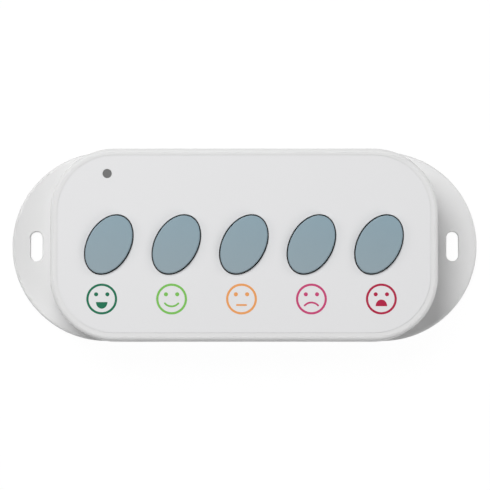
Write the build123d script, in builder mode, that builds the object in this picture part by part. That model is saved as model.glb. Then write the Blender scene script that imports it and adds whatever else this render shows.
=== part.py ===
from build123d import *
import os
from math import cos, radians, sin, tan

os.makedirs("parts", exist_ok=True)

# A wireless unit with a row of five feedback buttons, lying on its back.
# X runs along the row, Y towards the edge with the status light, Z out of the face.
# The origin is in the middle of the back, and every size is in millimetres.

# Buttons
button_names = ["very_happy", "happy", "neutral", "unhappy", "very_unhappy"]
button_pitch = 24.0
button_semi_major = 11.05
button_semi_minor = 7.4
button_tilt = 61.0
button_proud = 1.6
button_edge_radius = 0.4
button_crown_radius = 240.0
button_side_skin = 1.4
button_top_skin = 1.5
button_gap = 0.44
button_travel = 0.5
button_flange_reach = 0.9
button_flange_thickness = 1.0
button_flange_gap = 0.15
button_stem_diameter = 5.0
button_stem_length = 0.55
guide_pin_diameter = 1.8
guide_pin_gap = 0.08
guide_pin_end_gap = 0.1

# Case
body_end_margin = 21.2
body_width = 68.8
body_corner_radius = 23.1
draft_angle = 0.5
side_wall = 2.4
front_wall = 2.0
floor_thickness = 2.2
split_height = 10.0
front_edge_radius = 1.35
back_edge_radius = 0.6
seam_chamfer = 0.3
rim_tongue_width = 1.0
rim_tongue_height = 1.6
rim_gap = 0.15

# Fixing ears
ear_reach = 14.55
ear_setback = 0.3
ear_thickness = 3.5
ear_edge_radius = 0.8
ear_slot_width = 4.3
ear_slot_length = 10.6
ear_slot_from_tip = 8.75
ear_slot_chamfer = 0.3

# Printed face film
film_thickness = 0.2
film_rim = 1.25
film_shift = 0.23
film_gap = 0.08
film_setback = 0.1

# Screws
case_screw_diameter = 3.0
case_screw_length = 12.0
case_screw_head_diameter = 5.6
case_screw_head_height = 2.2
case_screw_seat_height = 5.0
case_screw_angle = 15.0
case_boss_wall = 1.2
case_boss_edge_gap = 1.3
front_boss_wall = 1.6
board_screw_diameter = 2.5
board_screw_length = 5.0
board_screw_head_diameter = 4.5
board_screw_head_height = 1.6
board_post_wall = 1.6
board_post_edge_inset = 6.0
board_post_end_gap = 4.0
screw_head_gap = 0.3
screw_hole_gap = 0.15
screw_thread_gap = 0.05
screw_tip_gap = 0.5
screw_head_edge_radius = 0.5
screw_recess_margin = 1.3
screw_recess_width = 0.9
screw_recess_depth = 1.0

# Circuit board
board_thickness = 1.6
board_side_gap = 2.8
board_end_gap = 1.2
board_corner_radius = 5.0

# Tactile switches
switch_width = 6.2
switch_base_height = 2.0
switch_cover_thickness = 0.25
switch_plunger_diameter = 3.4
switch_plunger_gap = 0.1
switch_plunger_margin = 0.35
switch_collar_reach = 0.5
switch_collar_thickness = 0.35
switch_collar_gap = 0.05
switch_dome_rest = 0.28
switch_dome_thickness = 0.12
switch_dome_gap = 0.02
switch_terminal_width = 0.7
switch_terminal_length = 1.3
switch_terminal_thickness = 0.3
switch_terminal_spacing = 4.5

# Status light
light_offset = -0.63
light_edge_inset = 9.12
light_pipe_diameter = 3.2
light_pipe_gap = 0.05
light_collar_reach = 0.7
light_collar_thickness = 1.0
led_length = 3.2
led_width = 2.8
led_height = 1.0
led_gap = 0.2

# Radio
radio_length = 17.0
radio_width = 14.0
radio_board_thickness = 0.8
radio_edge_inset = 1.0
shield_margin = 1.0
shield_height = 2.0
shield_skin = 0.25
antenna_length = 36.0
antenna_bar_height = 1.4
antenna_thickness = 0.4
antenna_stand = 3.6
antenna_leg_spacing = 4.0
antenna_leg_width = 1.4
antenna_edge_inset = 3.0
antenna_post_gap = 2.0
chip_edge_inset = 9.0
chip_spacing = 7.0
chip_sizes = [(3.0, 1.7, 1.2), (3.5, 2.8, 1.9), (3.5, 2.8, 1.9), (3.2, 2.5, 0.8)]

# Batteries
cell_diameter = 14.2
cell_length = 50.5
cell_tip_diameter = 5.3
cell_tip_height = 1.2
cell_edge_radius = 0.6
cell_height_gap = 0.25
cell_side_gap = 0.3
contact_thickness = 0.4
contact_width = 9.0
contact_bump_diameter = 5.0
contact_bump_height = 1.0
contact_bow_reach = 4.2
contact_bow_width = 5.0
contact_pin_width = 1.2
contact_pin_rise = 0.8
contact_pin_gap = 0.2
holder_wall = 1.3
holder_roof = 1.2
holder_lift = 3.0
holder_edge_gap = 2.5
holder_gap = 0.6

# Battery door
door_recess = 0.3
door_end_setback = 0.1
door_lap = 0.5
door_tongue_reach = 1.2
door_tongue_thickness = 1.0
door_slide_gap = 0.15
door_rail_height = 1.6
door_rail_wall = 1.4
door_end_chamfer = 0.3
grip_count = 5
grip_pitch = 2.4
grip_width = 1.2
grip_length = 18.0
grip_depth = 0.4
grip_edge_inset = 5.0

# Heights, built up from the back through the batteries and the board to the face
cell_axis_height = floor_thickness + cell_height_gap + cell_diameter / 2
board_underside = floor_thickness + cell_diameter + 2 * cell_height_gap + holder_roof
board_top = board_underside + board_thickness
switch_base_top = board_top + switch_base_height
switch_cover_top = switch_base_top + switch_cover_thickness
plunger_top = switch_cover_top + button_travel + switch_plunger_margin
flange_bottom = plunger_top + button_stem_length
flange_top = flange_bottom + button_flange_thickness
front_inside = flange_top + button_flange_gap
case_height = front_inside + front_wall
case_bore_top = case_screw_seat_height + case_screw_length + screw_tip_gap
tongue_bottom = floor_thickness - door_tongue_thickness
film_seat = case_height - film_thickness
button_top = case_height + button_proud
film_inset = case_height * tan(radians(draft_angle)) + front_edge_radius + film_rim

# Plan positions
button_centres = [(button_pitch * (i - (len(button_names) - 1) / 2), 0) for i in range(len(button_names))]
body_length = button_pitch * (len(button_names) - 1) + 2 * body_end_margin
ear_span = body_length + 2 * ear_reach
slot_centre_x = ear_span / 2 - ear_slot_from_tip
case_boss_radius = case_screw_head_diameter / 2 + screw_head_gap + case_boss_wall
case_boss_offset = body_corner_radius - side_wall - case_boss_radius - case_boss_edge_gap
case_screw_x = body_length / 2 - body_corner_radius + case_boss_offset * cos(radians(case_screw_angle))
case_screw_y = body_width / 2 - body_corner_radius + case_boss_offset * sin(radians(case_screw_angle))
front_boss_radius = case_screw_diameter / 2 + front_boss_wall
board_length = 2 * (case_screw_x - front_boss_radius - board_end_gap)
board_width = body_width - 2 * (side_wall + board_side_gap)
light_x = button_centres[0][0] + light_offset
light_y = body_width / 2 - light_edge_inset
guide_pin_offset = button_semi_major - button_side_skin / 2
guide_pin_x = guide_pin_offset * cos(radians(button_tilt))
guide_pin_y = guide_pin_offset * sin(radians(button_tilt))
contact_room = 2 * contact_thickness + contact_bump_height + contact_bow_reach
holder_inside_length = cell_length + contact_room
holder_inside_width = 2 * (cell_diameter + 2 * cell_side_gap)
holder_length = holder_inside_length + 2 * holder_wall
holder_width = holder_inside_width + 2 * holder_wall
holder_y = -body_width / 2 + side_wall + holder_edge_gap + holder_width / 2
cell_offset = cell_diameter / 2 + cell_side_gap
cell_shift = (contact_bow_reach - contact_bump_height) / 2
contact_face_x = holder_inside_length / 2
board_post_x = holder_length / 2 + board_screw_head_diameter / 2 + board_post_end_gap
board_post_y = board_width / 2 - board_post_edge_inset
board_post_radius = board_screw_diameter / 2 + board_post_wall
edge_front = -body_width / 2
door_front = edge_front + door_end_setback
opening_half = holder_length / 2 + holder_gap
opening_end = holder_y + holder_width / 2 + holder_gap
door_half = opening_half + door_lap
door_end = opening_end + door_lap
tongue_half = door_half + door_tongue_reach
tongue_end = door_end + door_tongue_reach
groove_half = tongue_half + door_slide_gap
groove_end = tongue_end + door_slide_gap
rail_half = groove_half + door_rail_wall
rail_end = groove_end + door_rail_wall


def body_plan(height, inset, shift=0):
    """Rounded rectangle at a height, drawn in all round from the outline of the case and shifted along Y."""
    with BuildSketch(Plane.XY.offset(height)) as plan:
        with Locations((0, shift)):
            RectangleRounded(body_length - 2 * inset, body_width - 2 * inset, body_corner_radius - inset)
    return plan.sketch


def button_plan(height, growth):
    """Ovals of all the buttons at a height, grown all round."""
    with BuildSketch(Plane.XY.offset(height)) as plan:
        with Locations(button_centres):
            Ellipse(button_semi_major + growth, button_semi_minor + growth, rotation=button_tilt)
    return plan.sketch


def corner_discs(height, half_x, half_y, radius):
    """Four discs at a height, at the corners of a rectangle given by its half sizes."""
    with BuildSketch(Plane.XY.offset(height)) as discs:
        with GridLocations(2 * half_x, 2 * half_y, 2, 2):
            Circle(radius)
    return discs.sketch


def screw_form(diameter, length, head_diameter, head_height):
    """Pan head screw, head down, with its seat at the origin and a cross recess."""
    with BuildPart() as screw:
        with BuildSketch(Plane.XY.offset(-head_height)):
            Circle(head_diameter / 2)
        extrude(amount=head_height)
        fillet(screw.faces().sort_by(Axis.Z)[0].edges(), screw_head_edge_radius)
        with BuildSketch():
            Circle(diameter / 2)
        extrude(amount=length)
        with BuildSketch(Plane.XY.offset(-head_height)):
            Rectangle(head_diameter - 2 * screw_recess_margin, screw_recess_width)
            Rectangle(screw_recess_width, head_diameter - 2 * screw_recess_margin)
        extrude(amount=screw_recess_depth, mode=Mode.SUBTRACT)
    return screw.part


def door_slab(height, half, end, front=door_front):
    """Rectangle in plan from the front of the door to its inner end, at a height."""
    with BuildSketch(Plane.XY.offset(height)) as slab:
        with Locations((0, front)):
            Rectangle(2 * half, end - front, align=(Align.CENTER, Align.MIN))
    return slab.sketch


# Drafted outside of the case, cut at the parting line into the two shells
with BuildPart() as case_block:
    extrude(body_plan(0, 0), amount=case_height, taper=draft_angle)
    fillet(case_block.faces().sort_by(Axis.Z)[-1].edges(), front_edge_radius)
    fillet(case_block.faces().sort_by(Axis.Z)[0].edges(), back_edge_radius)

# Obround foot plate, whose ends are the fixing ears
with BuildPart() as foot_plate:
    with BuildSketch():
        SlotOverall(ear_span, body_width - 2 * ear_setback)
    extrude(amount=ear_thickness)
    fillet(foot_plate.faces().sort_by(Axis.Z)[-1].edges(), ear_edge_radius)
    fillet(foot_plate.faces().sort_by(Axis.Z)[0].edges(), back_edge_radius)
    with BuildSketch():
        with Locations((-slot_centre_x, 0), (slot_centre_x, 0)):
            SlotOverall(ear_slot_length, ear_slot_width, rotation=90)
    extrude(amount=ear_thickness, mode=Mode.SUBTRACT)
    slot_rims = foot_plate.faces().sort_by(Axis.Z)[-1].inner_wires()
    chamfer([edge for rim in slot_rims for edge in rim.edges()], ear_slot_chamfer)

# Rear shell: tub on the foot plate, with a rim tongue, screw bosses and door rails
with BuildPart() as rear_shell:
    add(case_block.part)
    split(bisect_by=Plane.XY.offset(split_height), keep=Keep.BOTTOM)
    add(foot_plate.part)
    extrude(body_plan(floor_thickness, side_wall), amount=split_height, mode=Mode.SUBTRACT)
    extrude(body_plan(split_height - rim_tongue_height, side_wall - rim_tongue_width),
            amount=2 * rim_tongue_height)
    extrude(body_plan(split_height - rim_tongue_height, side_wall),
            amount=2 * rim_tongue_height, mode=Mode.SUBTRACT)
    extrude(corner_discs(0, case_screw_x, case_screw_y, case_boss_radius), amount=split_height)
    extrude(corner_discs(0, case_screw_x, case_screw_y, case_screw_head_diameter / 2 + screw_head_gap),
            amount=case_screw_seat_height, mode=Mode.SUBTRACT)
    extrude(corner_discs(0, case_screw_x, case_screw_y, case_screw_diameter / 2 + screw_hole_gap),
            amount=split_height, mode=Mode.SUBTRACT)
    extrude(door_slab(floor_thickness, rail_half, rail_end, door_front + side_wall), amount=door_rail_height)
    extrude(door_slab(0, opening_half, opening_end, door_front + side_wall),
            amount=floor_thickness + door_rail_height, mode=Mode.SUBTRACT)
    extrude(door_slab(0, door_half + door_slide_gap, door_end + door_slide_gap, edge_front),
            amount=floor_thickness, mode=Mode.SUBTRACT)
    extrude(door_slab(tongue_bottom - door_slide_gap, groove_half, groove_end, edge_front),
            amount=door_tongue_thickness + 2 * door_slide_gap, mode=Mode.SUBTRACT)
rear_shell.part.label = "rear_shell"
export_step(rear_shell.part, "parts/rear_shell.step")

# Front shell: cover with a rounded front edge, film recess, button holes, screw bosses and board posts
with BuildPart() as front_shell:
    add(case_block.part)
    split(bisect_by=Plane.XY.offset(split_height), keep=Keep.TOP)
    chamfer(front_shell.faces().sort_by(Axis.Z)[0].edges(), seam_chamfer)
    extrude(body_plan(split_height, side_wall), amount=front_inside - split_height, mode=Mode.SUBTRACT)
    extrude(body_plan(split_height, side_wall - rim_tongue_width - rim_gap),
            amount=rim_tongue_height + rim_gap, mode=Mode.SUBTRACT)
    extrude(corner_discs(split_height, case_screw_x, case_screw_y, front_boss_radius),
            amount=front_inside - split_height)
    extrude(corner_discs(split_height, case_screw_x, case_screw_y, case_screw_diameter / 2 + screw_thread_gap),
            amount=case_bore_top - split_height, mode=Mode.SUBTRACT)
    extrude(corner_discs(board_top, board_post_x, board_post_y, board_post_radius),
            amount=front_inside - board_top)
    extrude(corner_discs(board_top, board_post_x, board_post_y, board_screw_diameter / 2 + screw_thread_gap),
            amount=board_screw_length - board_thickness + screw_tip_gap, mode=Mode.SUBTRACT)
    extrude(body_plan(film_seat, film_inset - film_gap, film_shift),
            amount=film_thickness, mode=Mode.SUBTRACT)
    extrude(button_plan(front_inside, button_gap), amount=front_wall, mode=Mode.SUBTRACT)
    with BuildSketch(Plane.XY.offset(front_inside)):
        with Locations((light_x, light_y)):
            Circle(light_pipe_diameter / 2 + light_pipe_gap)
    extrude(amount=front_wall, mode=Mode.SUBTRACT)
front_shell.part.label = "front_shell"
export_step(front_shell.part, "parts/front_shell.step")

# Printed film on the face
with BuildPart() as face_overlay:
    extrude(body_plan(film_seat, film_inset, film_shift), amount=film_thickness)
    extrude(button_plan(film_seat, button_gap + film_setback), amount=film_thickness, mode=Mode.SUBTRACT)
    with BuildSketch(Plane.XY.offset(film_seat)):
        with Locations((light_x, light_y)):
            Circle(light_pipe_diameter / 2 + light_pipe_gap)
    extrude(amount=film_thickness, mode=Mode.SUBTRACT)
face_overlay.part.label = "face_overlay"
export_step(face_overlay.part, "parts/face_overlay.step")

# Battery door: plate with a tongue on three sides and grip grooves near its outer end
with BuildPart() as battery_door:
    extrude(door_slab(door_recess, door_half, door_end), amount=floor_thickness - door_recess)
    extrude(door_slab(tongue_bottom, tongue_half, tongue_end), amount=door_tongue_thickness)
    chamfer(battery_door.edges().filter_by(Axis.X).group_by(Axis.Z)[0].sort_by(Axis.Y)[0], door_end_chamfer)
    with BuildSketch(Plane.XY.offset(door_recess)):
        with Locations((0, door_front + grip_edge_inset + grip_pitch * (grip_count - 1) / 2)):
            with GridLocations(0, grip_pitch, 1, grip_count):
                SlotOverall(grip_length, grip_width)
    extrude(amount=grip_depth, mode=Mode.SUBTRACT)
battery_door.part.label = "battery_door"
export_step(battery_door.part, "parts/battery_door.step")

# Button caps: crowned oval cup with a retaining flange, a stem and two guide pins
with BuildPart() as button_form:
    with BuildSketch(Plane.XY.offset(flange_bottom)):
        Ellipse(button_semi_major, button_semi_minor, rotation=button_tilt)
    extrude(amount=button_top - flange_bottom)
    with Locations((0, 0, button_top - button_crown_radius)):
        Sphere(button_crown_radius, mode=Mode.INTERSECT)
    fillet(button_form.faces().sort_by(Axis.Z)[-1].edges(), button_edge_radius)
    with BuildSketch(Plane.XY.offset(flange_bottom)):
        Ellipse(button_semi_major + button_gap + button_flange_reach,
                button_semi_minor + button_gap + button_flange_reach, rotation=button_tilt)
    extrude(amount=button_flange_thickness)
    with BuildSketch(Plane.XY.offset(flange_bottom)):
        Ellipse(button_semi_major - button_side_skin,
                button_semi_minor - button_side_skin, rotation=button_tilt)
    extrude(amount=button_top - button_top_skin - flange_bottom, mode=Mode.SUBTRACT)
    with BuildSketch(Plane.XY.offset(plunger_top)):
        Circle(button_stem_diameter / 2)
    extrude(amount=button_top - button_top_skin - plunger_top)
    with BuildSketch(Plane.XY.offset(board_underside + button_travel + guide_pin_end_gap)):
        with Locations((-guide_pin_x, -guide_pin_y), (guide_pin_x, guide_pin_y)):
            Circle(guide_pin_diameter / 2)
    extrude(amount=flange_top - board_underside - button_travel - guide_pin_end_gap)
for name, centre in zip(button_names, button_centres):
    with BuildPart() as button:
        with Locations(centre):
            add(button_form.part)
    button.part.label = f"button_{name}"
    export_step(button.part, f"parts/button_{name}.step")

# Tactile switches: base with a pocket, cover plate, terminals, plunger and snap dome
collar_radius = switch_plunger_diameter / 2 + switch_collar_reach
collar_top = switch_base_top - switch_collar_gap
collar_bottom = collar_top - switch_collar_thickness
dome_rise = button_travel + switch_dome_rest
pocket_floor = collar_bottom - switch_dome_gap - dome_rise
pocket_radius = collar_radius + switch_plunger_gap
dome_sphere_radius = (collar_radius ** 2 + dome_rise ** 2) / (2 * dome_rise)

with BuildPart() as switch_bases:
    with BuildSketch(Plane.XY.offset(board_top)):
        with Locations(button_centres):
            Rectangle(switch_width, switch_width)
    extrude(amount=switch_base_height)
    with BuildSketch(Plane.XY.offset(pocket_floor)):
        with Locations(button_centres):
            Circle(pocket_radius)
    extrude(amount=switch_base_top - pocket_floor, mode=Mode.SUBTRACT)
switch_bases.part.label = "switch_bases"
export_step(switch_bases.part, "parts/switch_bases.step")

with BuildPart() as switch_covers:
    with BuildSketch(Plane.XY.offset(switch_base_top)):
        with Locations(button_centres):
            Rectangle(switch_width, switch_width)
            Circle(switch_plunger_diameter / 2 + switch_plunger_gap, mode=Mode.SUBTRACT)
    extrude(amount=switch_cover_thickness)
switch_covers.part.label = "switch_covers"
export_step(switch_covers.part, "parts/switch_covers.step")

with BuildPart() as switch_terminals:
    with BuildSketch(Plane.XY.offset(board_top)):
        with Locations(button_centres):
            with GridLocations(switch_width + switch_terminal_length, switch_terminal_spacing, 2, 2):
                Rectangle(switch_terminal_length, switch_terminal_width)
    extrude(amount=switch_terminal_thickness)
switch_terminals.part.label = "switch_terminals"
export_step(switch_terminals.part, "parts/switch_terminals.step")

for number, centre in enumerate(button_centres, start=1):
    with BuildPart() as switch_plunger:
        with BuildSketch(Plane.XY.offset(collar_bottom)):
            with Locations(centre):
                Circle(collar_radius)
        extrude(amount=switch_collar_thickness)
        with BuildSketch(Plane.XY.offset(collar_top)):
            with Locations(centre):
                Circle(switch_plunger_diameter / 2)
        extrude(amount=plunger_top - collar_top)
    switch_plunger.part.label = f"switch_plunger_{number}"
    export_step(switch_plunger.part, f"parts/switch_plunger_{number}.step")

    with BuildPart() as switch_dome:
        with BuildSketch(Plane.XY.offset(pocket_floor)):
            with Locations(centre):
                Circle(collar_radius)
        extrude(amount=dome_rise)
        with Locations((*centre, pocket_floor + dome_rise - dome_sphere_radius)):
            Sphere(dome_sphere_radius, mode=Mode.INTERSECT)
            Sphere(dome_sphere_radius - switch_dome_thickness, mode=Mode.SUBTRACT)
    switch_dome.part.label = f"switch_dome_{number}"
    export_step(switch_dome.part, f"parts/switch_dome_{number}.step")

# Circuit board with holes for the guide pins, screws and contact pins
with BuildPart() as circuit_board:
    with BuildSketch(Plane.XY.offset(board_underside)):
        RectangleRounded(board_length, board_width, board_corner_radius)
        with Locations(button_centres):
            with Locations((-guide_pin_x, -guide_pin_y), (guide_pin_x, guide_pin_y)):
                Circle(guide_pin_diameter / 2 + guide_pin_gap, mode=Mode.SUBTRACT)
        with GridLocations(2 * board_post_x, 2 * board_post_y, 2, 2):
            Circle(board_screw_diameter / 2 + screw_hole_gap, mode=Mode.SUBTRACT)
        with Locations((contact_face_x - contact_thickness / 2, holder_y)):
            with GridLocations(0, 2 * cell_offset, 1, 2):
                Rectangle(contact_thickness + 2 * contact_pin_gap, contact_pin_width + 2 * contact_pin_gap,
                          mode=Mode.SUBTRACT)
    extrude(amount=board_thickness)
circuit_board.part.label = "circuit_board"
export_step(circuit_board.part, "parts/circuit_board.step")

# Status light: diode on the board and the light pipe that carries it to the face
with BuildPart() as status_led:
    with BuildSketch(Plane.XY.offset(board_top)):
        with Locations((light_x, light_y)):
            Rectangle(led_length, led_width)
    extrude(amount=led_height)
status_led.part.label = "status_led"
export_step(status_led.part, "parts/status_led.step")

with BuildPart() as light_pipe:
    with BuildSketch(Plane.XY.offset(board_top + led_height + led_gap)):
        with Locations((light_x, light_y)):
            Circle(light_pipe_diameter / 2)
    extrude(amount=case_height - board_top - led_height - led_gap)
    with BuildSketch(Plane.XY.offset(front_inside - light_collar_thickness)):
        with Locations((light_x, light_y)):
            Circle(light_pipe_diameter / 2 + light_collar_reach)
    extrude(amount=light_collar_thickness)
light_pipe.part.label = "light_pipe"
export_step(light_pipe.part, "parts/light_pipe.step")

# Radio module between the lower guide pins of the third and fourth buttons, with its shield can
radio_x = button_pitch / 2 - guide_pin_x
radio_y = -board_width / 2 + radio_edge_inset + radio_width / 2
with BuildPart() as radio_board:
    with BuildSketch(Plane.XY.offset(board_top)):
        with Locations((radio_x, radio_y)):
            Rectangle(radio_length, radio_width)
    extrude(amount=radio_board_thickness)
radio_board.part.label = "radio_board"
export_step(radio_board.part, "parts/radio_board.step")

shield_bottom = board_top + radio_board_thickness
shield_length = radio_length - 2 * shield_margin
shield_width = radio_width - 2 * shield_margin
with BuildPart() as radio_shield:
    with BuildSketch(Plane.XY.offset(shield_bottom)):
        with Locations((radio_x, radio_y)):
            Rectangle(shield_length, shield_width)
    extrude(amount=shield_height)
    with BuildSketch(Plane.XY.offset(shield_bottom)):
        with Locations((radio_x, radio_y)):
            Rectangle(shield_length - 2 * shield_skin, shield_width - 2 * shield_skin)
    extrude(amount=shield_height - shield_skin, mode=Mode.SUBTRACT)
radio_shield.part.label = "radio_shield"
export_step(radio_shield.part, "parts/radio_shield.step")

# Antenna: a stamped strip on two legs beside the far edge of the board
antenna_start = board_post_x - board_post_radius - antenna_post_gap - antenna_length
antenna_y = board_width / 2 - antenna_edge_inset
with BuildPart() as antenna:
    with BuildSketch(Plane.XZ.offset(-antenna_y)):
        with Locations((antenna_start, board_top + antenna_stand - antenna_bar_height)):
            Rectangle(antenna_length, antenna_bar_height, align=(Align.MIN, Align.MIN))
        with Locations((antenna_start, board_top), (antenna_start + antenna_leg_spacing, board_top)):
            Rectangle(antenna_leg_width, antenna_stand, align=(Align.MIN, Align.MIN))
    extrude(amount=antenna_thickness)
antenna.part.label = "antenna"
export_step(antenna.part, "parts/antenna.step")

# Small chips in a row between the buttons and the antenna
with BuildPart() as board_chips:
    for place, (length, width, height) in enumerate(chip_sizes, start=1):
        with BuildSketch(Plane.XY.offset(board_top)):
            with Locations((-chip_spacing * place, board_width / 2 - chip_edge_inset)):
                Rectangle(length, width)
        extrude(amount=height)
board_chips.part.label = "board_chips"
export_step(board_chips.part, "parts/board_chips.step")

# Battery holder: tray under the board, open towards the door, with slots for the contact pins
holder_bottom = floor_thickness + holder_lift
with BuildPart() as battery_holder:
    with BuildSketch(Plane.XY.offset(holder_bottom)):
        with Locations((0, holder_y)):
            Rectangle(holder_length, holder_width)
    extrude(amount=board_underside - holder_bottom)
    with BuildSketch(Plane.XY.offset(holder_bottom)):
        with Locations((0, holder_y)):
            Rectangle(holder_inside_length, holder_inside_width)
    extrude(amount=board_underside - holder_roof - holder_bottom, mode=Mode.SUBTRACT)
    with BuildSketch(Plane.XY.offset(board_underside - holder_roof)):
        with Locations((contact_face_x - contact_thickness / 2, holder_y)):
            with GridLocations(0, 2 * cell_offset, 1, 2):
                Rectangle(contact_thickness + 2 * contact_pin_gap, contact_pin_width + 2 * contact_pin_gap)
    extrude(amount=holder_roof, mode=Mode.SUBTRACT)
battery_holder.part.label = "battery_holder"
export_step(battery_holder.part, "parts/battery_holder.step")

# Cells, one each way round, with their tips against the contact bumps
with BuildPart() as cell_form:
    with BuildSketch(Plane.YZ.offset(-cell_length / 2)):
        Circle(cell_diameter / 2)
    extrude(amount=cell_length - cell_tip_height)
    fillet(cell_form.edges().filter_by(GeomType.CIRCLE), cell_edge_radius)
    with BuildSketch(Plane.YZ.offset(cell_length / 2 - cell_tip_height)):
        Circle(cell_tip_diameter / 2)
    extrude(amount=cell_tip_height)

with BuildPart() as cell_upper:
    with Locations((cell_shift, holder_y + cell_offset, cell_axis_height)):
        add(cell_form.part)
cell_upper.part.label = "cell_upper"
export_step(cell_upper.part, "parts/cell_upper.step")

with BuildPart() as cell_lower:
    with Locations((-cell_shift, holder_y - cell_offset, cell_axis_height)):
        add(cell_form.part, rotation=(0, 0, 180))
cell_lower.part.label = "cell_lower"
export_step(cell_lower.part, "parts/cell_lower.step")

# Battery contacts: a plate at the origin facing -X, with a bump for a tip or a bow spring for a flat end
contact_bottom = holder_bottom
contact_top = board_underside - holder_roof
contact_height = contact_top - contact_bottom
axis_above_middle = cell_axis_height - (contact_bottom + contact_top) / 2

with BuildPart() as bump_form:
    with BuildSketch(Plane.YZ.offset(-contact_thickness)):
        Rectangle(contact_width, contact_height)
    extrude(amount=contact_thickness)
    with BuildSketch(Plane.YZ.offset(-contact_thickness)):
        with Locations((0, axis_above_middle)):
            Circle(contact_bump_diameter / 2)
    extrude(amount=-contact_bump_height)

bow_half = cell_axis_height - contact_bottom - contact_thickness
with BuildPart() as bow_form:
    with BuildSketch(Plane.YZ.offset(-contact_thickness)):
        Rectangle(contact_width, contact_height)
    extrude(amount=contact_thickness)
    with BuildSketch(Plane.XZ.move(Location((-contact_thickness, 0, axis_above_middle)))):
        with BuildLine():
            ThreePointArc((0, -bow_half), (-contact_bow_reach, 0), (0, bow_half))
            Line((0, bow_half), (0, bow_half - contact_thickness))
            ThreePointArc((0, bow_half - contact_thickness), (contact_thickness - contact_bow_reach, 0),
                          (0, contact_thickness - bow_half))
            Line((0, contact_thickness - bow_half), (0, -bow_half))
        make_face()
    extrude(amount=contact_bow_width / 2, both=True)

with BuildPart() as pin_form:
    with BuildSketch(Plane.YZ.offset(-contact_thickness)):
        with Locations((0, contact_height / 2)):
            Rectangle(contact_pin_width, board_top + contact_pin_rise - contact_top,
                      align=(Align.CENTER, Align.MIN))
    extrude(amount=contact_thickness)

contact_middle = (contact_bottom + contact_top) / 2
upper_place = (contact_face_x, holder_y + cell_offset, contact_middle)
lower_place = (contact_face_x, holder_y - cell_offset, contact_middle)
with BuildPart() as contact_positive:
    with Locations(upper_place):
        add(bump_form.part)
        add(pin_form.part)
contact_positive.part.label = "contact_positive"
export_step(contact_positive.part, "parts/contact_positive.step")

with BuildPart() as contact_negative:
    with Locations(lower_place):
        add(bow_form.part)
        add(pin_form.part)
contact_negative.part.label = "contact_negative"
export_step(contact_negative.part, "parts/contact_negative.step")

with BuildPart() as contact_bridge:
    with Locations((-contact_face_x, holder_y + cell_offset, contact_middle)):
        add(bow_form.part, rotation=(0, 0, 180))
    with Locations((-contact_face_x, holder_y - cell_offset, contact_middle)):
        add(bump_form.part, rotation=(0, 0, 180))
    with BuildSketch(Plane.YZ.offset(-contact_face_x)):
        with Locations((holder_y, contact_middle)):
            Rectangle(2 * cell_offset, contact_height)
    extrude(amount=contact_thickness)
contact_bridge.part.label = "contact_bridge"
export_step(contact_bridge.part, "parts/contact_bridge.step")

# Screws
case_screw = screw_form(case_screw_diameter, case_screw_length,
                        case_screw_head_diameter, case_screw_head_height)
with BuildPart() as case_screws:
    with Locations((0, 0, case_screw_seat_height)):
        with GridLocations(2 * case_screw_x, 2 * case_screw_y, 2, 2):
            add(case_screw)
case_screws.part.label = "case_screws"
export_step(case_screws.part, "parts/case_screws.step")

board_screw = screw_form(board_screw_diameter, board_screw_length,
                         board_screw_head_diameter, board_screw_head_height)
with BuildPart() as board_screws:
    with Locations((0, 0, board_underside)):
        with GridLocations(2 * board_post_x, 2 * board_post_y, 2, 2):
            add(board_screw)
board_screws.part.label = "board_screws"
export_step(board_screws.part, "parts/board_screws.step")
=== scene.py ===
"""Looks of a wireless unit with a row of five feedback keys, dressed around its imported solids."""
import logging
import math
from dataclasses import dataclass
from enum import Enum
from functools import cache

import bpy
from mathutils import Matrix, Vector


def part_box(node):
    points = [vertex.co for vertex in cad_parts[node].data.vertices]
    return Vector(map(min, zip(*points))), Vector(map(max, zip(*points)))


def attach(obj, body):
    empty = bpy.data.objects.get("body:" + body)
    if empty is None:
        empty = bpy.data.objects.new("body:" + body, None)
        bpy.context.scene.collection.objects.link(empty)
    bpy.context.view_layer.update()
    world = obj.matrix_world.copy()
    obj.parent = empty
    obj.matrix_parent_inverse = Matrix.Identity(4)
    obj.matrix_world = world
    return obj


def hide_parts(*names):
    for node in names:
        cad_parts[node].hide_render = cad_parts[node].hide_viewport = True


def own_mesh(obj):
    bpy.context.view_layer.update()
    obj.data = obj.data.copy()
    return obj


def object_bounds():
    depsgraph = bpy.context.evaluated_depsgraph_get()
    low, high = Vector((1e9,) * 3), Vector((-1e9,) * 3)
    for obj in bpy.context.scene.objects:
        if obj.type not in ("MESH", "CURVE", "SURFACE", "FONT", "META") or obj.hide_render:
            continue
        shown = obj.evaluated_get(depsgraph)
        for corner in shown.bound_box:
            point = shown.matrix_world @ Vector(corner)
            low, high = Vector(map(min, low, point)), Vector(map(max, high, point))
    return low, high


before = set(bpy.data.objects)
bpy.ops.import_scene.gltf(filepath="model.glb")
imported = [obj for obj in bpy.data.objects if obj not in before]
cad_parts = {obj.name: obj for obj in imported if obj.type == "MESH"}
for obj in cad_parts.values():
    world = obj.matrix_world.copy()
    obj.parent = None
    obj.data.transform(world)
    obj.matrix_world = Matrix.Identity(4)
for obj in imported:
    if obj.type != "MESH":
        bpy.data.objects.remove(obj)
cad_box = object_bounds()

MM = 0.001
CUT_SLACK = 0.0001 * MM
MERGE_REACH = 0.01 * MM
# How far below the film's top the keys' painted gap shade starts.
GAP_SHADE_DROP = 0.1 * MM
NOISE_LAYERS = 2.0
NOISE_MIDDLE = 0.5
SCREEN_TOE = 0.04045
SCREEN_TOE_SLOPE = 12.92
SCREEN_SHIFT = 0.055
SCREEN_POWER = 2.4
log = logging.getLogger("looks")

Triple = tuple[float, float, float]
Colour = Triple


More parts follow.
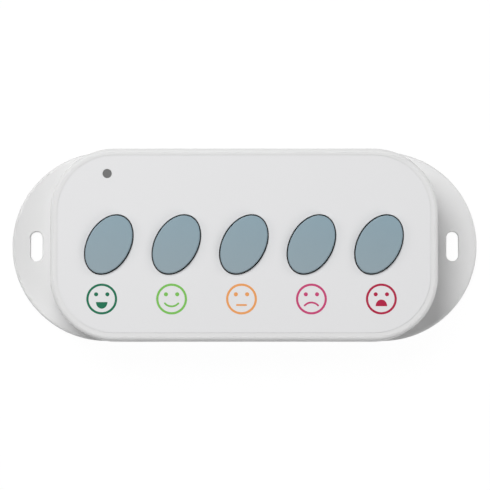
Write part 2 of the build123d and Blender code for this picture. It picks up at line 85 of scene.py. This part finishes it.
def linear(red: int, green: int, blue: int) -> Colour:
    """Turns a colour as a screen shows it into the linear one that a shader takes.

    Args:
        red: Red from 0 to 255.
        green: Green from 0 to 255.
        blue: Blue from 0 to 255.

    Returns:
        The three linear values from 0 to 1.
    """
    def straighten(level: int) -> float:
        """Undoes the screen's curve for one level.

        Args:
            level: The level from 0 to 255.

        Returns:
            The linear value from 0 to 1.
        """
        share = level / 255
        if share <= SCREEN_TOE:
            return share / SCREEN_TOE_SLOPE
        return ((share + SCREEN_SHIFT) / (1 + SCREEN_SHIFT)) ** SCREEN_POWER
    return straighten(red), straighten(green), straighten(blue)


def shade(colour: Colour, share: float) -> tuple[float, float, float, float]:
    """Scales a colour's lightness by a share and adds full alpha."""
    return colour[0] * share, colour[1] * share, colour[2] * share, 1.0


class Wire:
    """A shader value that takes part in Python sums."""

    def __init__(self, bench: "Bench", socket: bpy.types.NodeSocket) -> None:
        """Keeps the bench that the value lives on and its output socket."""
        self.bench = bench
        self.socket = socket

    def join(self, operation: str, first: "Wire | float", second: "Wire | float") -> "Wire":
        """Adds one Math node.

        Args:
            operation: The Math node's operation.
            first: Left side of the sum.
            second: Right side of the sum.

        Returns:
            The node's value.
        """
        return self.bench.node("ShaderNodeMath", {"operation": operation}, {0: first, 1: second})

    def __add__(self, other: "Wire | float") -> "Wire":
        """Adds."""
        return self.join("ADD", self, other)

    def __radd__(self, other: float) -> "Wire":
        """Adds to a number."""
        return self.join("ADD", other, self)

    def __sub__(self, other: "Wire | float") -> "Wire":
        """Subtracts."""
        return self.join("SUBTRACT", self, other)

    def __rsub__(self, other: float) -> "Wire":
        """Subtracts from a number."""
        return self.join("SUBTRACT", other, self)

    def __mul__(self, other: "Wire | float") -> "Wire":
        """Multiplies."""
        return self.join("MULTIPLY", self, other)

    def __rmul__(self, other: float) -> "Wire":
        """Multiplies a number."""
        return self.join("MULTIPLY", other, self)

    def __abs__(self) -> "Wire":
        """Drops the sign."""
        return self.bench.node("ShaderNodeMath", {"operation": "ABSOLUTE"}, {0: self})

    def __gt__(self, other: "Wire | float") -> "Wire":
        """Gives 1 where this value is the larger one, and 0 elsewhere."""
        return self.join("GREATER_THAN", self, other)

    def __or__(self, other: "Wire | float") -> "Wire":
        """Gives the larger of two values."""
        return self.join("MAXIMUM", self, other)

    __ror__ = __or__


class Bench:
    """The node tree of one material or of the world."""

    def __init__(self, owner: "bpy.types.Material | bpy.types.World") -> None:
        """Empties a node tree to start from.

        Args:
            owner: The material or world that the nodes belong to.
        """
        owner.use_nodes = True
        self.tree = owner.node_tree
        self.tree.nodes.clear()

    def node(self, kind: str, settings: dict[str, object], inputs: dict, output: "str | int" = 0) -> Wire:
        """Adds a node, sets it and wires it up.

        Args:
            kind: The node's type.
            settings: Its properties, with a ramp's stops under the name stops.
            inputs: Values or wires by the name or number of the socket.
            output: Name or number of the output to give back.

        Returns:
            The chosen output.
        """
        made = self.tree.nodes.new(kind)
        for name, value in settings.items():
            if name == "stops":
                self.fill_ramp(made.color_ramp, value)
            else:
                setattr(made, name, value)
        for name, value in inputs.items():
            if isinstance(value, Wire):
                self.tree.links.new(value.socket, made.inputs[name])
            else:
                made.inputs[name].default_value = value
        return Wire(self, made.outputs[output] if made.outputs else None)

    def fill_ramp(self, ramp: bpy.types.ColorRamp, stops: list[tuple[float, tuple]]) -> None:
        """Sets a ramp's stops, each of which holds up to the next.

        Args:
            ramp: The ramp of a node.
            stops: Place and colour of each stop, in rising order.
        """
        ramp.interpolation = "CONSTANT"
        while len(ramp.elements) < len(stops):
            ramp.elements.new(1.0)
        for element, (place, colour) in zip(ramp.elements, stops):
            element.position = place
            element.color = colour

    def place(self) -> Wire:
        """Gives the object coordinates."""
        return self.node("ShaderNodeTexCoord", {}, {}, "Object")

    def noise(self, place: Wire, scale: float = 1.0) -> Wire:
        """Adds a cloud pattern.

        Args:
            place: Coordinates that the pattern reads.
            scale: Features to a unit of the coordinates.

        Returns:
            The pattern, from 0 to 1 around its middle.
        """
        inputs = {"Vector": place, "Scale": scale, "Detail": NOISE_LAYERS}
        return self.node("ShaderNodeTexNoise", {}, inputs, "Fac")

    def mix(self, share: Wire, first: "Wire | tuple", second: "Wire | tuple") -> Wire:
        """Mixes two colours.

        Args:
            share: Amount of the second colour.
            first: The colour at 0.
            second: The colour at 1.

        Returns:
            The mixed colour.
        """
        return self.node("ShaderNodeMix", {"data_type": "RGBA"}, {0: share, 6: first, 7: second}, 2)

    def bump(self, height: Wire, depth: float) -> Wire:
        """Turns a height pattern into a normal.

        Args:
            height: The pattern, from 0 to 1.
            depth: Height of its relief in metres.

        Returns:
            The bent normal.
        """
        return self.node("ShaderNodeBump", {}, {"Height": height, "Distance": depth})

    def close(self, **sockets: object) -> None:
        """Ends a material in one principled shader.

        Args:
            sockets: Values or wires by the name of the socket, with _ for each space.
        """
        inputs = {name.replace("_", " "): value for name, value in sockets.items()}
        surface = self.node("ShaderNodeBsdfPrincipled", {}, inputs)
        self.node("ShaderNodeOutputMaterial", {}, {"Surface": surface})


@dataclass(frozen=True)
class Finish:
    """A surface with a name, a colour and a gloss."""

    name: str
    colour: Colour
    roughness: float

    def paint(self, bench: Bench) -> None:
        """Builds the surface's nodes on a bench."""
        raise NotImplementedError


@cache
def material_of(finish: Finish) -> bpy.types.Material:
    """Makes a finish's material once and gives it back after that.

    Args:
        finish: The finish to make.

    Returns:
        Its material.
    """
    material = bpy.data.materials.new(finish.name)
    finish.paint(Bench(material))
    return material


@dataclass(frozen=True)
class MouldedPlastic(Finish):
    """Plastic from a lightly sparked mould, with a faint cloud in its tint."""

    cloud: float = 0.012
    cloud_scale: float = 45.0
    grain_scale: float = 2600.0
    grain_depth: float = 0.004 * MM
    gloss_spread: float = 0.12

    def tint(self, bench: Bench, place: Wire) -> Wire:
        """Builds the clouded colour.

        Args:
            bench: The bench to build on.
            place: Coordinates that the pattern reads.

        Returns:
            The colour.
        """
        cloud = bench.noise(place, self.cloud_scale)
        return bench.mix(cloud, shade(self.colour, 1 - self.cloud), shade(self.colour, 1 + self.cloud))

    def paint(self, bench: Bench) -> None:
        """Builds tint, gloss and grain from two noises.

        Args:
            bench: The bench to build on.
        """
        place = bench.place()
        grain = bench.noise(place, self.grain_scale)
        gloss = self.roughness + (grain - NOISE_MIDDLE) * self.gloss_spread
        bench.close(
            Base_Color=self.tint(bench, place), Roughness=gloss, Normal=bench.bump(grain, self.grain_depth))


@dataclass(frozen=True)
class PlasticWithPaintedShade(MouldedPlastic):
    """Grey-blue plastic with near-black painted shade below a level for the dark gap round each key, and
    painted shading that makes it lighter towards the near end.
    """

    near_painted_light: Colour = (1.0, 1.0, 1.0)
    painted_gap_shade: Colour = (0.01, 0.011, 0.012)
    level: float = 0.0
    half_length: float = 10.0 * MM

    def tint(self, bench: Bench, place: Wire) -> Wire:
        """Builds the colour above the level, with painted shading lighter towards the near end, and the
        near-black painted shade below it.

        Args:
            bench: The bench to build on.
            place: Coordinates that the pattern reads.

        Returns:
            The colour.
        """
        height = bench.node("ShaderNodeSeparateXYZ", {}, {"Vector": place}, "Z")
        along = bench.node("ShaderNodeSeparateXYZ", {}, {"Vector": place}, "Y")
        # Painted shading: the key colour grows lighter towards the near end and darker towards the far end.
        ends = {"Value": along, "From Min": self.half_length, "From Max": -self.half_length}
        painted_light_share = bench.node("ShaderNodeMapRange", {}, ends)
        paint = bench.mix(painted_light_share, super().tint(bench, place), shade(self.near_painted_light, 1.0))
        # Below the level, near-black painted shade stands in for the dark gap round each key.
        return bench.mix(height > self.level, shade(self.painted_gap_shade, 1.0), paint)


@dataclass(frozen=True)
class PrintInk(Finish):
    """Dull screen print whose cover thins a little in fine specks."""

    sheen: float = 0.2
    speck_scale: float = 3500.0
    speck: float = 0.1
    gloss_spread: float = 0.1

    def paint(self, bench: Bench) -> None:
        """Builds the specks of a thin cover.

        Args:
            bench: The bench to build on.
        """
        specks = bench.noise(bench.place(), self.speck_scale)
        colour = bench.mix(specks, shade(self.colour, 1 - self.speck), shade(self.colour, 1 + self.speck))
        gloss = self.roughness + (specks - NOISE_MIDDLE) * self.gloss_spread
        bench.close(Base_Color=colour, Roughness=gloss, Specular_IOR_Level=self.sheen)


@dataclass(frozen=True)
class SmokedLens(Finish):
    """Tinted clear plastic whose depth is a shade darker in patches."""

    smoke_scale: float = 700.0
    smoke: float = 0.08
    gloss_spread: float = 0.05

    def paint(self, bench: Bench) -> None:
        """Builds a smoky tint under a dull skin.

        Args:
            bench: The bench to build on.
        """
        smoke = bench.noise(bench.place(), self.smoke_scale)
        colour = bench.mix(smoke, shade(self.colour, 1 - self.smoke), shade(self.colour, 1 + self.smoke))
        bench.close(Base_Color=colour, Roughness=self.roughness + smoke * self.gloss_spread)


@dataclass(frozen=True)
class SheetMetal(Finish):
    """Rolled or turned metal with fine lines along one axis."""

    stretch: Triple = (60.0, 2600.0, 2600.0)
    dark: float = 0.9
    light: float = 1.06
    gloss_spread: float = 0.2
    line_depth: float = 0.002 * MM

    def paint(self, bench: Bench) -> None:
        """Builds the drawn lines from a stretched noise.

        Args:
            bench: The bench to build on.
        """
        stretched = bench.node("ShaderNodeMapping", {}, {"Vector": bench.place(), "Scale": self.stretch})
        lines = bench.noise(stretched)
        colour = bench.mix(lines, shade(self.colour, self.dark), shade(self.colour, self.light))
        gloss = self.roughness + (lines - NOISE_MIDDLE) * self.gloss_spread
        relief = bench.bump(lines, self.line_depth)
        bench.close(Base_Color=colour, Metallic=1.0, Roughness=gloss, Normal=relief)


@dataclass(frozen=True)
class BoardMask(Finish):
    """Solder mask over copper tracks, with bare board where the copper stops."""

    track: Colour = (0.03, 0.16, 0.06)
    track_scale: float = 300.0
    track_share: float = 0.45
    track_height: float = 0.02 * MM
    patch_scale: float = 150.0
    turned_share: float = 0.5
    gloss_gain: float = 0.08

    def tracks(self, bench: Bench, place: Wire, direction: str) -> Wire:
        """Adds parallel tracks.

        Args:
            bench: The bench to build on.
            place: Coordinates that the pattern reads.
            direction: Axis that the tracks follow one another along.

        Returns:
            1 on a track and 0 between two.
        """
        inputs = {"Vector": place, "Scale": self.track_scale}
        waves = bench.node("ShaderNodeTexWave", {"bands_direction": direction}, inputs, "Fac")
        return waves > 1 - self.track_share

    def paint(self, bench: Bench) -> None:
        """Builds tracks that change direction from patch to patch.

        Args:
            bench: The bench to build on.
        """
        place = bench.place()
        inputs = {"Vector": place, "Scale": self.patch_scale}
        patches = bench.node("ShaderNodeTexVoronoi", {"distance": "CHEBYCHEV"}, inputs, "Color")
        chance = bench.node("ShaderNodeSeparateColor", {}, {"Color": patches}, "Red")
        turned = chance > 1 - self.turned_share
        copper = turned * self.tracks(bench, place, "X") + (1 - turned) * self.tracks(bench, place, "Y")
        colour = bench.mix(copper, shade(self.colour, 1.0), shade(self.track, 1.0))
        gloss = self.roughness - copper * self.gloss_gain
        bench.close(Base_Color=colour, Roughness=gloss, Normal=bench.bump(copper, self.track_height))


@dataclass(frozen=True)
class CellSleeve(Finish):
    """Shrunk sleeve of a dry cell with a pale band, and bare metal at the ends."""

    band: Colour = (0.62, 0.63, 0.64)
    metal: Colour = (0.72, 0.72, 0.70)
    half_length: float = 27.0 * MM
    band_start: float = 0.48
    metal_start: float = 0.874
    grain_scale: float = 900.0
    gloss_spread: float = 0.1

    def paint(self, bench: Bench) -> None:
        """Builds the bands from the distance along the cell.

        Args:
            bench: The bench to build on.
        """
        place = bench.place()
        along = bench.node("ShaderNodeSeparateXYZ", {}, {"Vector": place}, "X")
        away = abs(along) * (1 / self.half_length)
        bands = [
            (0.0, shade(self.colour, 1.0)),
            (self.band_start, shade(self.band, 1.0)),
            (self.metal_start, shade(self.metal, 1.0)),
        ]
        colour = bench.node("ShaderNodeValToRGB", {"stops": bands}, {"Fac": away}, "Color")
        gloss = self.roughness + bench.noise(place, self.grain_scale) * self.gloss_spread
        bench.close(Base_Color=colour, Metallic=away > self.metal_start, Roughness=gloss)


CASE_WHITE = MouldedPlastic("case_white", linear(217, 217, 217), roughness=0.55)
FACE_FILM = MouldedPlastic(
    "face_film", linear(219, 219, 220), roughness=0.5,
    cloud=0.006, grain_scale=4200.0, grain_depth=0.002 * MM)
# Grey-blue key colour, lighter towards the near end as painted shading, and near-black below the film as
# painted shade in the gaps.
KEY_BLUE = PlasticWithPaintedShade(
    "key_grey_blue", linear(124, 147, 158), roughness=0.5,
    cloud=0.03, cloud_scale=160.0, grain_scale=3000.0,
    near_painted_light=linear(135, 152, 160), level=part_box("face_overlay")[1].z - GAP_SHADE_DROP)
SMOKED_GREY = SmokedLens("smoked_grey", linear(87, 87, 87), roughness=0.4)
BOARD_GREEN = BoardMask("board_green", linear(20, 84, 50), roughness=0.42)
SWITCH_BLACK = MouldedPlastic("switch_black", linear(34, 34, 36), roughness=0.5)
PLUNGER_BLACK = MouldedPlastic("plunger_black", linear(44, 44, 46), roughness=0.42)
LAMP_WHITE = MouldedPlastic("lamp_white", linear(236, 230, 205), roughness=0.35)
TIN = SheetMetal("tin_plate", linear(200, 198, 192), roughness=0.3)
STEEL = SheetMetal(
    "screw_steel", linear(176, 176, 178), roughness=0.32, stretch=(1800.0, 1800.0, 60.0))
SLEEVE = CellSleeve("cell_sleeve", linear(62, 72, 84), roughness=0.32)


def coat(finish: Finish, *names: str) -> None:
    """Gives pieces a finish.

    Args:
        finish: The finish to show.
        names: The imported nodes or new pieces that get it.
    """
    for name in names:
        slots = bpy.data.objects[name].data.materials
        slots.clear()
        slots.append(material_of(finish))
        log.info("%s has %s", name, finish.name)


def let_go() -> None:
    """Goes back to object mode with nothing selected."""
    if bpy.context.mode != "OBJECT":
        bpy.ops.object.mode_set(mode="OBJECT")
    bpy.ops.object.select_all(action="DESELECT")


def take(*pieces: bpy.types.Object) -> None:
    """Selects only some pieces.

    Args:
        pieces: The pieces, of which the last one becomes the active one.
    """
    let_go()
    for piece in pieces:
        piece.select_set(True)
        bpy.context.view_layer.objects.active = piece


def disc(radius: float, x: float, y: float, corners: int) -> bpy.types.Object:
    """Adds a filled disc in plan with its place in its mesh.

    Args:
        radius: Its radius.
        x: Place of its middle along X.
        y: Place of its middle along Y.
        corners: Number of corners round it.

    Returns:
        The disc, selected and active.
    """
    let_go()
    bpy.ops.mesh.primitive_circle_add(vertices=corners, radius=radius, fill_type="NGON", location=(x, y, 0))
    bpy.ops.object.transform_apply(location=True, rotation=True, scale=True)
    return bpy.context.object


def cut(piece: bpy.types.Object, point: tuple[float, float], away: tuple[float, float]) -> None:
    """Cuts a flat piece along a line and leaves it in edit mode with the cut selected.

    Args:
        piece: The piece to cut.
        point: A point of the line.
        away: Direction, square to the line, of the side that goes.
    """
    take(piece)
    bpy.ops.object.mode_set(mode="EDIT")
    bpy.ops.mesh.select_all(action="SELECT")
    bpy.ops.mesh.bisect(plane_co=(*point, 0), plane_no=(*away, 0), clear_outer=True, threshold=CUT_SLACK)


def mirror(piece: bpy.types.Object) -> None:
    """Doubles a half piece across X and joins it in the middle.

    Args:
        piece: The half to mirror.
    """
    take(piece)
    modifier = piece.modifiers.new("mirror", "MIRROR")
    modifier.merge_threshold = MERGE_REACH
    bpy.ops.object.modifier_apply(modifier=modifier.name)


def thicken(piece: bpy.types.Object, thickness: float, outwards: bool) -> None:
    """Gives an open piece its thickness.

    Args:
        piece: The piece to make solid.
        thickness: Its thickness.
        outwards: Whether it grows along its normals, and not against them.
    """
    take(piece)
    modifier = piece.modifiers.new("wall", "SOLIDIFY")
    modifier.thickness = thickness
    modifier.offset = 1.0 if outwards else -1.0
    bpy.ops.object.modifier_apply(modifier=modifier.name)


def copy_to(piece: bpy.types.Object, place: Triple, name: str) -> bpy.types.Object:
    """Copies a piece with its mesh, and puts the copy's place in its mesh.

    Args:
        piece: The piece to copy, modelled at the origin.
        place: Where the copy goes.
        name: Name of the copy.

    Returns:
        The copy, selected and active.
    """
    take(piece)
    bpy.ops.object.duplicate()
    copy = bpy.context.object
    copy.location = place
    bpy.ops.object.transform_apply(location=True, rotation=True, scale=True)
    copy.name = copy.data.name = name
    return copy


def scrap(piece: bpy.types.Object) -> None:
    """Deletes a piece that copies were made from."""
    take(piece)
    bpy.ops.object.delete()


class Assembly:
    """A group of pieces that is built and then dressed."""

    def build(self) -> None:
        """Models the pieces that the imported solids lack."""

    def dress(self) -> None:
        """Gives each piece its finish."""


class Mood(Enum):
    """The five answers by their place in the row, and the word in the names of their keys."""

    VERY_HAPPY = -2
    HAPPY = -1
    NEUTRAL = 0
    UNHAPPY = 1
    VERY_UNHAPPY = 2

    @property
    def word(self) -> str:
        """Gives the answer's name in plain letters."""
        return self.name.lower()


@dataclass
class FacePrint(Assembly):
    """Round mood marks printed on the film, one under each key."""

    pitch: float = 24.83 * MM
    offset: float = -0.85 * MM
    drop: float = -19.36 * MM
    ring_radius: float = 5.48 * MM
    ring_stroke: float = 0.8 * MM
    mouth_stroke: float = 0.66 * MM
    eye_radius: float = 0.72 * MM
    eye_spread: float = 2.0 * MM
    eye_rise: float = 1.67 * MM
    grin_radius: float = 2.05 * MM
    grin_height: float = 2.35 * MM
    grin_top: float = -1.08 * MM
    gape_bottom: float = -2.55 * MM
    arc_half: float = 2.38 * MM
    arc_sag: float = 1.05 * MM
    smile_low: float = -2.6 * MM
    frown_high: float = -1.25 * MM
    bar_half: float = 1.6 * MM
    bar_level: float = -2.13 * MM
    thickness: float = 0.02 * MM
    ink_roughness: float = 0.45
    ring_corners: int = 128
    grin_corners: int = 64
    eye_corners: int = 32
    stroke_corners: int = 24
    arc_steps: int = 16

    def ink(self, mood: Mood) -> PrintInk:
        """Picks the ink of an answer.

        Args:
            mood: The answer.

        Returns:
            Its ink.
        """
        colours = {
            Mood.VERY_HAPPY: linear(14, 102, 72),
            Mood.HAPPY: linear(118, 184, 84),
            Mood.NEUTRAL: linear(227, 154, 90),
            Mood.UNHAPPY: linear(190, 64, 112),
            Mood.VERY_UNHAPPY: linear(168, 27, 64),
        }
        return PrintInk(f"ink_{mood.word}", colours[mood], self.ink_roughness)

    def blank_face(self) -> bpy.types.Object:
        """Models the ring and the two eyes that every mark has.

        Returns:
            Both in one piece, flat at the origin.
        """
        ring = disc(self.ring_radius, 0.0, 0.0, self.ring_corners)
        bpy.ops.object.mode_set(mode="EDIT")
        bpy.ops.mesh.select_all(action="SELECT")
        bpy.ops.mesh.inset(thickness=self.ring_stroke)
        bpy.ops.mesh.delete(type="FACE")
        eye = disc(self.eye_radius, self.eye_spread, self.eye_rise, self.eye_corners)
        mirror(eye)
        take(eye, ring)
        bpy.ops.object.join()
        return ring

    def half_disc(self, top: bool) -> bpy.types.Object:
        """Models an open mouth, flat on one side.

        Args:
            top: Whether the flat side is the top one.

        Returns:
            The mouth.
        """
        flat = self.grin_top if top else self.gape_bottom
        mouth = disc(self.grin_radius, 0.0, flat, self.grin_corners)
        cut(mouth, (0.0, flat), (0.0, 1.0 if top else -1.0))
        bpy.ops.mesh.select_all(action="SELECT")
        share = self.grin_height / self.grin_radius
        bpy.ops.transform.resize(value=(1.0, share, 1.0), center_override=(0.0, flat, 0.0))
        return mouth

    def arc(self, middle: float, sag: float) -> bpy.types.Object:
        """Models a curved stroke with round ends, half of it and then its mirror image.

        Args:
            middle: Height of the stroke's middle.
            sag: Height of its ends over its middle, below zero for a frown.

        Returns:
            The mouth.
        """
        radius = (self.arc_half ** 2 + sag ** 2) / (2 * sag)
        turn = math.asin(self.arc_half / radius)
        mouth = disc(self.mouth_stroke / 2, self.arc_half, middle + sag, self.stroke_corners)
        cut(mouth, (self.arc_half, middle + sag), (-math.cos(turn), -math.sin(turn)))
        centre = (0.0, middle + radius, 0.0)
        bpy.ops.mesh.spin(steps=self.arc_steps, angle=turn, center=centre, axis=(0.0, 0.0, 1.0))
        mirror(mouth)
        return mouth

    def bar(self) -> bpy.types.Object:
        """Models a straight stroke with round ends, half of it and then its mirror image.

        Returns:
            The mouth.
        """
        mouth = disc(self.mouth_stroke / 2, self.bar_half, self.bar_level, self.stroke_corners)
        cut(mouth, (self.bar_half, self.bar_level), (-1.0, 0.0))
        bpy.ops.mesh.extrude_region_move(TRANSFORM_OT_translate={"value": (-self.bar_half, 0.0, 0.0)})
        mirror(mouth)
        return mouth

    def mouth(self, mood: Mood) -> bpy.types.Object:
        """Models the mouth of an answer.

        Args:
            mood: The answer.

        Returns:
            The mouth, flat at the origin.
        """
        if mood is Mood.HAPPY:
            return self.arc(self.smile_low, self.arc_sag)
        if mood is Mood.UNHAPPY:
            return self.arc(self.frown_high, -self.arc_sag)
        if mood is Mood.NEUTRAL:
            return self.bar()
        return self.half_disc(mood is Mood.VERY_HAPPY)

    def raise_ink(self, mark: bpy.types.Object) -> None:
        """Turns a flat mark face up and gives the ink its thickness.

        Args:
            mark: The mark where it is printed.
        """
        take(mark)
        bpy.ops.object.mode_set(mode="EDIT")
        bpy.ops.mesh.select_all(action="DESELECT")
        bpy.ops.object.mode_set(mode="OBJECT")
        for face in mark.data.polygons:
            face.select = face.normal.z < 0
        bpy.ops.object.mode_set(mode="EDIT")
        bpy.ops.mesh.flip_normals()
        thicken(mark, self.thickness, outwards=True)

    def build(self) -> None:
        """Prints the five marks on the film."""
        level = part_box("face_overlay")[1].z
        blank = self.blank_face()
        for mood in Mood:
            place = (self.offset + mood.value * self.pitch, self.drop, level)
            mouth = self.mouth(mood)
            features = copy_to(mouth, place, "features")
            scrap(mouth)
            mark = copy_to(blank, place, f"print_{mood.word}")
            take(features, mark)
            bpy.ops.object.join()
            self.raise_ink(mark)
            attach(mark, "case")
            log.info("%s has %d faces", mark.name, len(mark.data.polygons))
        scrap(blank)

    def dress(self) -> None:
        """Inks each mark in the colour of its answer."""
        for mood in Mood:
            coat(self.ink(mood), f"print_{mood.word}")


@dataclass
class Case(Assembly):
    """Both shells, the battery door and the face film."""

    finish: Finish = CASE_WHITE
    film: Finish = FACE_FILM

    def dress(self) -> None:
        """Dresses the shells, the door and the film."""
        coat(self.finish, "rear_shell", "front_shell", "battery_door")
        coat(self.film, "face_overlay")


@dataclass
class Keys(Assembly):
    """The five oval caps and what they push, with snap domes under them."""

    finish: Finish = KEY_BLUE
    dome_thickness: float = 0.12 * MM
    dome_corners: int = 48

    def snap_dome(self, rise: float, foot: float) -> bpy.types.Object:
        """Models a snap dome as the top of a thin ball.

        Args:
            rise: Height of its top.
            foot: Radius of its foot.

        Returns:
            The dome, with the middle of its foot at the origin.
        """
        let_go()
        ball = (foot ** 2 + rise ** 2) / (2 * rise)
        corners = self.dome_corners
        bpy.ops.mesh.primitive_uv_sphere_add(segments=corners, ring_count=corners, radius=ball)
        dome = bpy.context.object
        dome.location.z = rise - ball
        bpy.ops.object.transform_apply(location=True, rotation=True, scale=True)
        thicken(dome, self.dome_thickness, outwards=False)
        bpy.ops.object.mode_set(mode="EDIT")
        bpy.ops.mesh.select_all(action="SELECT")
        bpy.ops.mesh.bisect(plane_co=(0, 0, 0), plane_no=(0, 0, -1), clear_outer=True, threshold=CUT_SLACK)
        bpy.ops.mesh.bridge_edge_loops()
        bpy.ops.object.mode_set(mode="OBJECT")
        bpy.ops.object.shade_smooth_by_angle()
        return dome

    def build(self) -> None:
        """Sets a dome under each plunger."""
        low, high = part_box("switch_dome_1")
        rise = high.z - low.z
        blank = self.snap_dome(rise, (high.x - low.x) / 2)
        for number, mood in enumerate(Mood, start=1):
            low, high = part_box(f"switch_dome_{number}")
            foot = ((low.x + high.x) / 2, (low.y + high.y) / 2, low.z)
            dome = copy_to(blank, foot, f"snap_dome_{number}")
            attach(dome, "case")
            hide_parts(f"switch_dome_{number}")
            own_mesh(dome)
            log.info("%s has %d faces", dome.name, len(dome.data.polygons))
        scrap(blank)

    def dress(self) -> None:
        """Dresses the caps, plungers and domes."""
        coat(self.finish, *[f"button_{mood.word}" for mood in Mood])
        numbers = range(1, len(Mood) + 1)
        coat(PLUNGER_BLACK, *[f"switch_plunger_{number}" for number in numbers])
        coat(TIN, *[f"snap_dome_{number}" for number in numbers])


@dataclass
class Electronics(Assembly):
    """The board and everything soldered to it."""

    mask: Finish = BOARD_GREEN

    def dress(self) -> None:
        """Dresses the boards, switches, radio and light."""
        coat(self.mask, "circuit_board", "radio_board")
        coat(SWITCH_BLACK, "switch_bases", "board_chips")
        coat(TIN, "switch_covers", "switch_terminals", "radio_shield", "antenna")
        coat(LAMP_WHITE, "status_led")
        coat(SMOKED_GREY, "light_pipe")


@dataclass
class PowerPack(Assembly):
    """The battery tray with its cells and contacts."""

    sleeve: Finish = SLEEVE

    def dress(self) -> None:
        """Dresses the tray, cells and contacts."""
        coat(SWITCH_BLACK, "battery_holder")
        coat(self.sleeve, "cell_upper", "cell_lower")
        coat(TIN, "contact_positive", "contact_negative", "contact_bridge")


@dataclass
class Fasteners(Assembly):
    """The screws of the case and of the board."""

    finish: Finish = STEEL

    def dress(self) -> None:
        """Dresses the screws."""
        coat(self.finish, "case_screws", "board_screws")


@dataclass(frozen=True)
class Lamp:
    """A round soft lamp that faces the part, placed by angles in degrees."""

    name: str
    lean: float
    bearing: float
    size: float
    power: float
    gloss: bool = True
    reach: float = 1.63

    def hang(self) -> None:
        """Hangs the lamp at its lean from overhead and its bearing from the right."""
        let_go()
        lean, bearing = math.radians(self.lean), math.radians(self.bearing)
        side = math.sin(lean)
        way = Vector((side * math.cos(bearing), side * math.sin(bearing), math.cos(lean)))
        turn = (-way).to_track_quat("-Z", "Y").to_euler()
        bpy.ops.object.light_add(type="AREA", location=way * self.reach, rotation=turn)
        lamp = bpy.context.object
        lamp.name = self.name
        lamp.visible_glossy = self.gloss
        lamp.data.shape = "DISK"
        lamp.data.size = self.size
        lamp.data.energy = self.power


@dataclass
class Studio:
    """White floor, soft light and a camera that looks down on the face."""

    floor_radius: float = 3.0
    floor_corners: int = 128
    floor_gap: float = 0.05 * MM
    floor_skip: float = 2.0 * MM
    floor_white: float = 0.8
    floor_glow: float = 0.97
    floor_cover: float = 0.95
    sky: float = 0.03
    lamps: tuple[Lamp, ...] = (
        Lamp("key_lamp", lean=30.0, bearing=118.0, size=1.0, power=22.2),
        Lamp("front_lamp", lean=65.0, bearing=315.0, size=0.7, power=7.0, gloss=False),
        Lamp("right_lamp", lean=65.0, bearing=20.0, size=0.7, power=6.0, gloss=False),
        Lamp("left_lamp", lean=65.0, bearing=180.0, size=0.7, power=6.0, gloss=False),
        Lamp("under_lamp", lean=180.0, bearing=0.0, size=0.4, power=21.5, gloss=False),
    )
    aim: Triple = (0.39 * MM, -0.17 * MM, 26.5 * MM)
    distance: float = 1.5
    tilt_down: float = math.radians(1.72)
    tilt_right: float = math.radians(0.4)
    frame_width: float = 174.1 * MM
    sensor: float = 36.0

    def seen(self, bench: Bench) -> Wire:
        """Tells the rays that show the surroundings from those that light the part.

        Args:
            bench: The bench to build on.

        Returns:
            1 for rays that show the surroundings, and 0 for the rest.
        """
        shares = [
            bench.node("ShaderNodeLightPath", {}, {}, name)
            for name in ("Is Camera Ray", "Is Glossy Ray", "Is Transmission Ray")
        ]
        return shares[0] | shares[1] | shares[2]

    def lay_floor(self) -> None:
        """Lays a floor that keeps the part's shadow, and that light and views from below pass."""
        floor = disc(self.floor_radius, 0.0, 0.0, self.floor_corners)
        floor.name = "floor"
        floor.location.z = cad_box[0].z - self.floor_gap
        floor.visible_shadow = False
        material = bpy.data.materials.new("floor_white")
        bench = Bench(material)
        white = (self.floor_white, self.floor_white, self.floor_white, 1.0)
        matt = bench.node("ShaderNodeBsdfDiffuse", {}, {"Color": white})
        glow = bench.node("ShaderNodeEmission", {}, {"Strength": self.floor_glow / self.floor_cover})
        cover = self.seen(bench) * self.floor_cover
        lit = bench.node("ShaderNodeMixShader", {}, {0: cover, 1: matt, 2: glow})
        under = bench.node("ShaderNodeNewGeometry", {}, {}, "Backfacing")
        near = 1 - (bench.node("ShaderNodeLightPath", {}, {}, "Ray Length") > self.floor_skip)
        clear = bench.node("ShaderNodeBsdfTransparent", {}, {})
        both = bench.node("ShaderNodeMixShader", {}, {0: under | near, 1: lit, 2: clear})
        bench.node("ShaderNodeOutputMaterial", {}, {"Surface": both})
        floor.data.materials.append(material)

    def light_up(self) -> None:
        """Sets the sky and hangs the lamps."""
        scene = bpy.context.scene
        scene.world = bpy.data.worlds.new("studio")
        bench = Bench(scene.world)
        strength = self.sky + self.seen(bench) * (1 - self.sky)
        sky = bench.node("ShaderNodeBackground", {}, {"Color": (1, 1, 1, 1), "Strength": strength})
        bench.node("ShaderNodeOutputWorld", {}, {"Surface": sky})
        for lamp in self.lamps:
            lamp.hang()

    def set_camera(self) -> None:
        """Stands the camera over the face, a little below and to the right of square on."""
        aim = Vector(self.aim)
        back = Vector((math.tan(self.tilt_right), -math.tan(self.tilt_down), 1.0)).normalized()
        right = Vector((0.0, 1.0, 0.0)).cross(back).normalized()
        turn = Matrix((right, back.cross(right), back)).transposed()
        let_go()
        bpy.ops.object.camera_add(location=aim + back * self.distance, rotation=turn.to_euler())
        camera = bpy.context.object
        camera.data.sensor_width = self.sensor
        camera.data.lens = self.sensor * self.distance / self.frame_width
        bpy.context.scene.camera = camera

    def build(self) -> None:
        """Sets up the floor, the light and the camera."""
        self.lay_floor()
        self.light_up()
        self.set_camera()
        bpy.context.scene.view_settings.view_transform = "Standard"
        log.info("the studio is ready")


def main() -> None:
    """Builds the sub-assemblies in order and then the studio."""
    logging.basicConfig(level=logging.INFO, format="%(name)s: %(message)s")
    for assembly in (Case(), FacePrint(), Keys(), Electronics(), PowerPack(), Fasteners()):
        assembly.build()
        assembly.dress()
    Studio().build()


if __name__ == "__main__":
    main()
